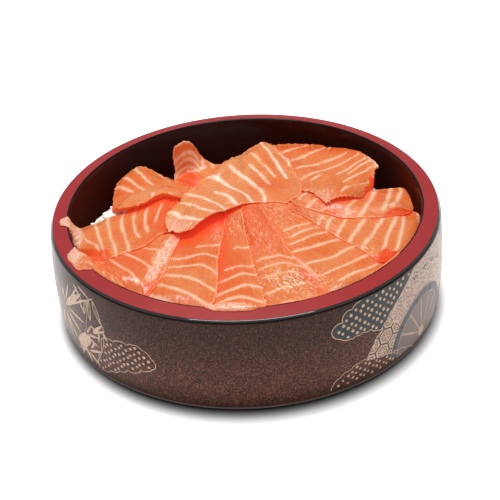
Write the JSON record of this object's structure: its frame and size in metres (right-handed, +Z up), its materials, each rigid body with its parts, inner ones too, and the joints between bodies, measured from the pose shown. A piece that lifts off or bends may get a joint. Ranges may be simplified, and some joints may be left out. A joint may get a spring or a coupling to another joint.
{
  "type": "chirashi bowl",
  "caption": "Round lacquer-look tub with a red rim, filled with a bed of rice and overlapping slices of raw salmon laid in a rosette",
  "frame": {"origin": "the middle of the tub's foot, on the surface that it stands on", "axes": "+Z is up along the tub's axis; -Y is the front, the side that the picture shows nearest; +X is to the right as seen from the front"},
  "size_m": [0.2448, 0.2448, 0.0806],
  "materials": {
    "lacquer": "satin dark brown outside, glossy black inside, satin red rim face",
    "cooked_rice": "moist",
    "salmon": "wet"
  },
  "bodies": {
    "root": {"bowl": "lacquer", "rice": "cooked_rice", "slice_front_1": "salmon", "slice_front_2": "salmon", "slice_front_3": "salmon", "slice_front_4": "salmon", "slice_front_5": "salmon", "slice_front_6": "salmon", "slice_front_7": "salmon", "slice_front_8": "salmon", "slice_back_1": "salmon", "slice_back_2": "salmon", "slice_back_3": "salmon", "slice_back_4": "salmon", "slice_back_5": "salmon"}
  },
  "joints": []
}
